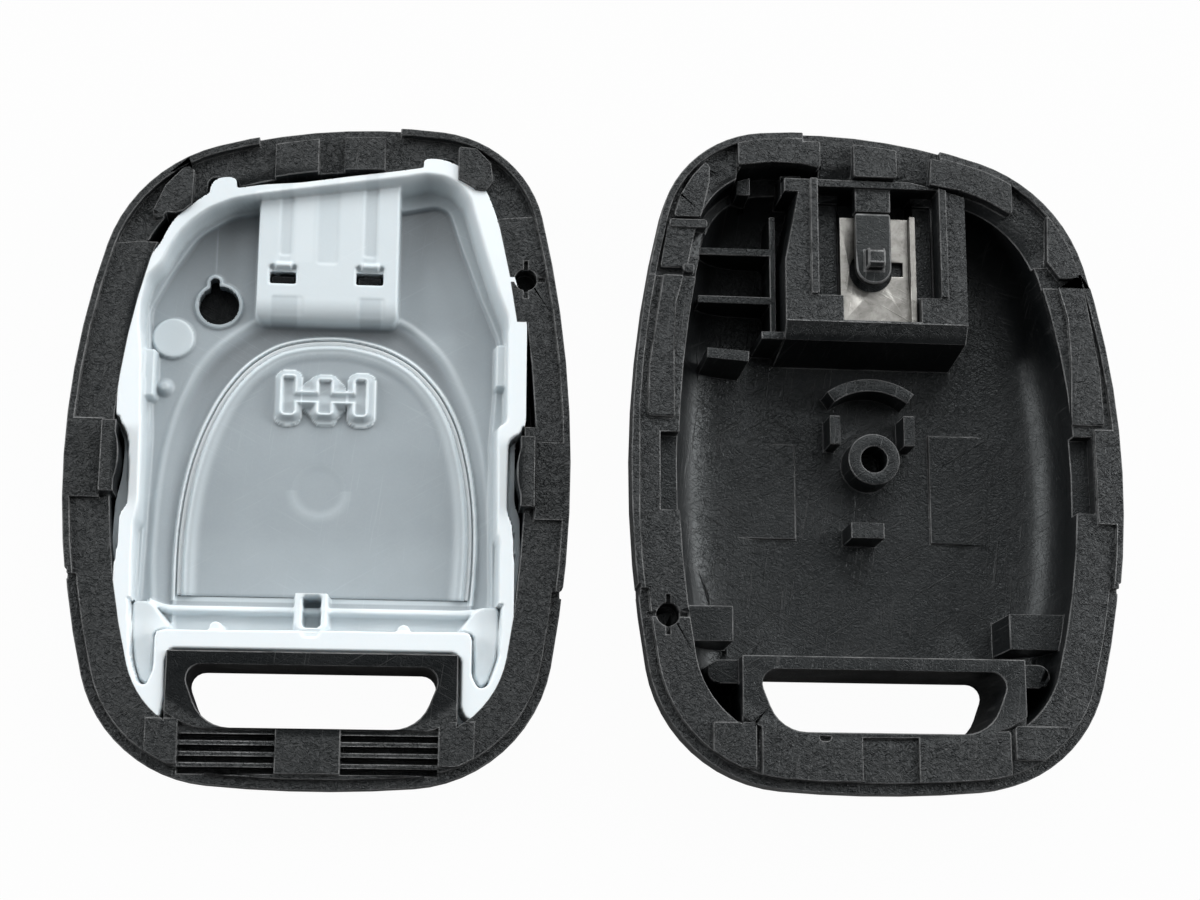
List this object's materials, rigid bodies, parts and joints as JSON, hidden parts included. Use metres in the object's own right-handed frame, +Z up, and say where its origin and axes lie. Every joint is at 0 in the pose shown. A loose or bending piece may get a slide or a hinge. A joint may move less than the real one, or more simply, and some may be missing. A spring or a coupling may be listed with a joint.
{
  "type": "key fob cover",
  "caption": "Opened two-part remote key cover: front half with soft seal and arched thumb key, rear half with blade seat, latch tongue and screw boss.",
  "frame": {"origin": "middle of the two open halves on the surface that they lie on", "axes": "+Z up, out of the open halves; +Y towards the blade end, away from the key ring slots; +X from the front half to the rear half"},
  "size_m": [0.0884, 0.0566, 0.0094],
  "materials": {
    "case_plastic": "black moulded plastic with a fine eroded grain on the rims",
    "key_plastic": "black moulded plastic, smooth satin",
    "seal_silicone": "milky translucent silicone",
    "plate_steel": "bright stamped spring steel"
  },
  "bodies": {
    "front_half": {"front_cover": "case_plastic", "seal": "seal_silicone"},
    "key": {"thumb_key": "key_plastic", "seal_key_field": "seal_silicone"},
    "rear_half": {"rear_cover": "case_plastic", "blade_plate": "plate_steel"},
    "latch": {"blade_latch": "case_plastic"}
  },
  "joints": [
    {"name": "case_close", "type": "hinge", "parent": "front_half", "child": "rear_half", "pos_m": [0, 0, 0.00755], "axis": [0, -1, 0], "range_deg": [0, 180]},
    {"name": "key_press", "type": "hinge", "parent": "front_half", "child": "key", "pos_m": [-0.02276, -0.01228, 0.0018], "axis": [1, 0, 0], "range_deg": [0, 2], "stiffness_Nm_per_rad": 1.2},
    {"name": "latch_flex", "type": "hinge", "parent": "rear_half", "child": "latch", "pos_m": [0.02345, 0.02155, 0.00765], "axis": [1, 0, 0], "range_deg": [-2, 6], "stiffness_Nm_per_rad": 0.25}
  ]
}
